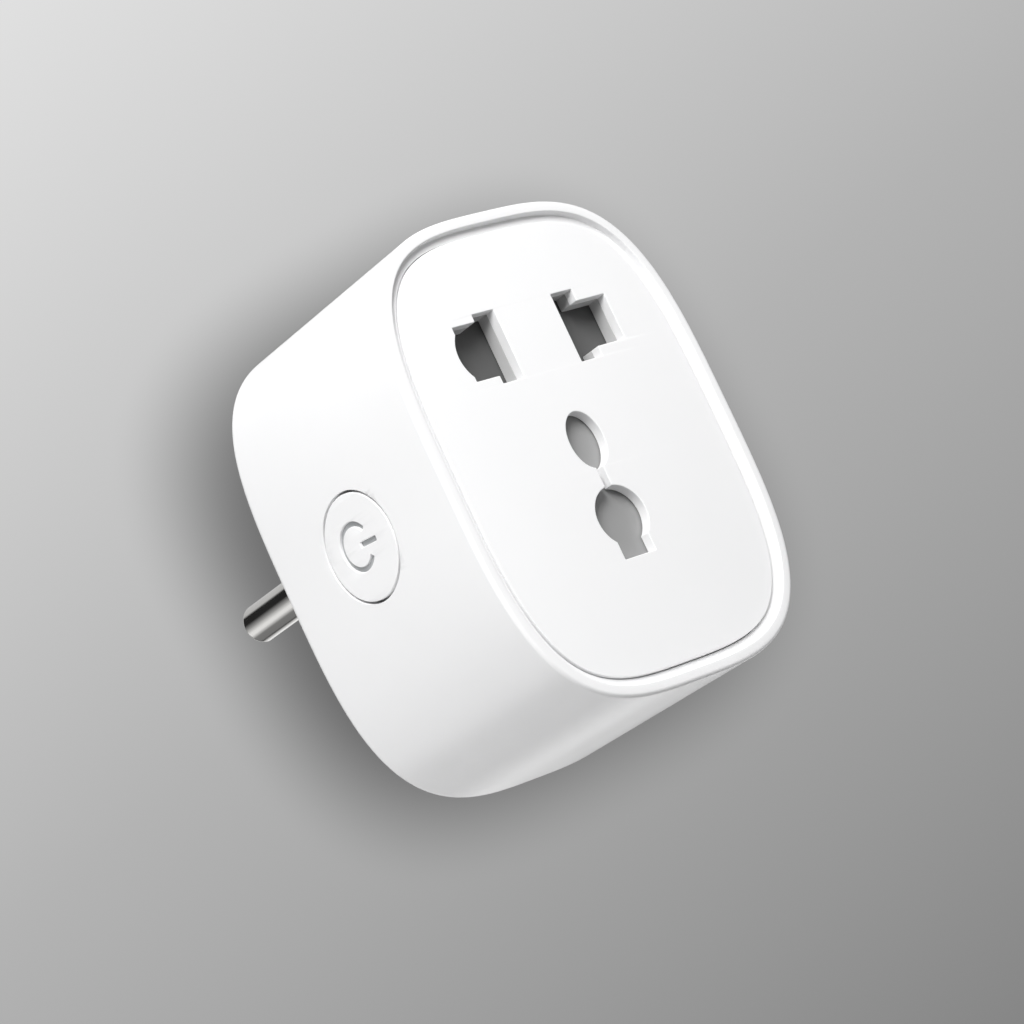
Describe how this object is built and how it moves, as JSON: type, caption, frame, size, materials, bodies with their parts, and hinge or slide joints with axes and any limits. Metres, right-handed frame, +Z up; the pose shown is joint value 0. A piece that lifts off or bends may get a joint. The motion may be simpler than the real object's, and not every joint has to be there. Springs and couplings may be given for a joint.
{
  "type": "smart plug",
  "caption": "Compact switched mains adapter: universal shuttered socket in front, side power button, round pins behind.",
  "frame": {"origin": "centre of the rear pad's face, where the plug rests on the wall outlet", "axes": "+X right as seen from the front, +Y into the wall along the pins, +Z up towards the two line holes"},
  "size_m": [0.0436, 0.0573, 0.058],
  "materials": {
    "shell_plastic": "glossy white",
    "face_plastic": "satin white",
    "frame_plastic": "moulded light grey",
    "button_plastic": "glossy white",
    "light_guide": "translucent grey",
    "nickel_plate": "polished nickel plate",
    "screw_steel": "zinc plate",
    "spring_steel": "drawn wire",
    "contact_brass": "rolled strip",
    "carrier_plastic": "moulded",
    "shutter_plastic": "moulded dark grey",
    "earth_shutter_plastic": "moulded grey",
    "black_plastic": "moulded",
    "circuit_board": "solder mask",
    "module_can": "tinned can",
    "led_lens": "clear",
    "relay_case": "moulded blue",
    "capacitor_sleeve": "shrink sleeve",
    "fuse_body": "lacquered",
    "varistor_coat": "epoxy coat"
  },
  "bodies": {
    "housing": {"shell": "shell_plastic", "face_plate": "face_plastic", "shutter_frame": "frame_plastic", "rear_cover": "shell_plastic", "cover_screws": "screw_steel", "live_pin": "nickel_plate", "neutral_pin": "nickel_plate", "switch_dome": "spring_steel", "tact_switch": "black_plastic", "contact_carrier": "carrier_plastic", "carrier_base": "carrier_plastic", "carrier_screws": "screw_steel", "live_contact": "contact_brass", "neutral_contact": "contact_brass", "line_shutter_springs": "spring_steel", "earth_shutter_spring": "spring_steel", "control_board": "circuit_board", "wifi_module": "module_can", "status_led": "led_lens", "board_header": "black_plastic", "main_board": "circuit_board", "relay": "relay_case", "filter_capacitors": "capacitor_sleeve", "inductor": "black_plastic", "rectifier": "black_plastic", "fuse": "fuse_body", "varistor": "varistor_coat"},
    "button": {"power_button": "button_plastic", "icon_light_guide": "light_guide", "switch_plunger": "black_plastic"},
    "line_shutter_slide": {"line_shutter": "shutter_plastic"},
    "earth_shutter_slide": {"earth_shutter": "earth_shutter_plastic"}
  },
  "joints": [
    {"name": "button_press", "type": "slide", "parent": "housing", "child": "button", "axis": [1, 0, 0], "range_m": [0, 0.0004], "stiffness_N_per_m": 2500, "springref_m": -0.0004, "deforming": ["switch_dome"]},
    {"name": "line_shutter_drop", "type": "slide", "parent": "housing", "child": "line_shutter_slide", "axis": [0, 0, -1], "range_m": [0, 0.0089], "stiffness_N_per_m": 60, "springref_m": -0.004, "deforming": ["line_shutter_springs"]},
    {"name": "earth_shutter_slide", "type": "slide", "parent": "housing", "child": "earth_shutter_slide", "axis": [1, 0, 0], "range_m": [0, 0.008], "stiffness_N_per_m": 50, "springref_m": -0.004, "deforming": ["earth_shutter_spring"]}
  ]
}
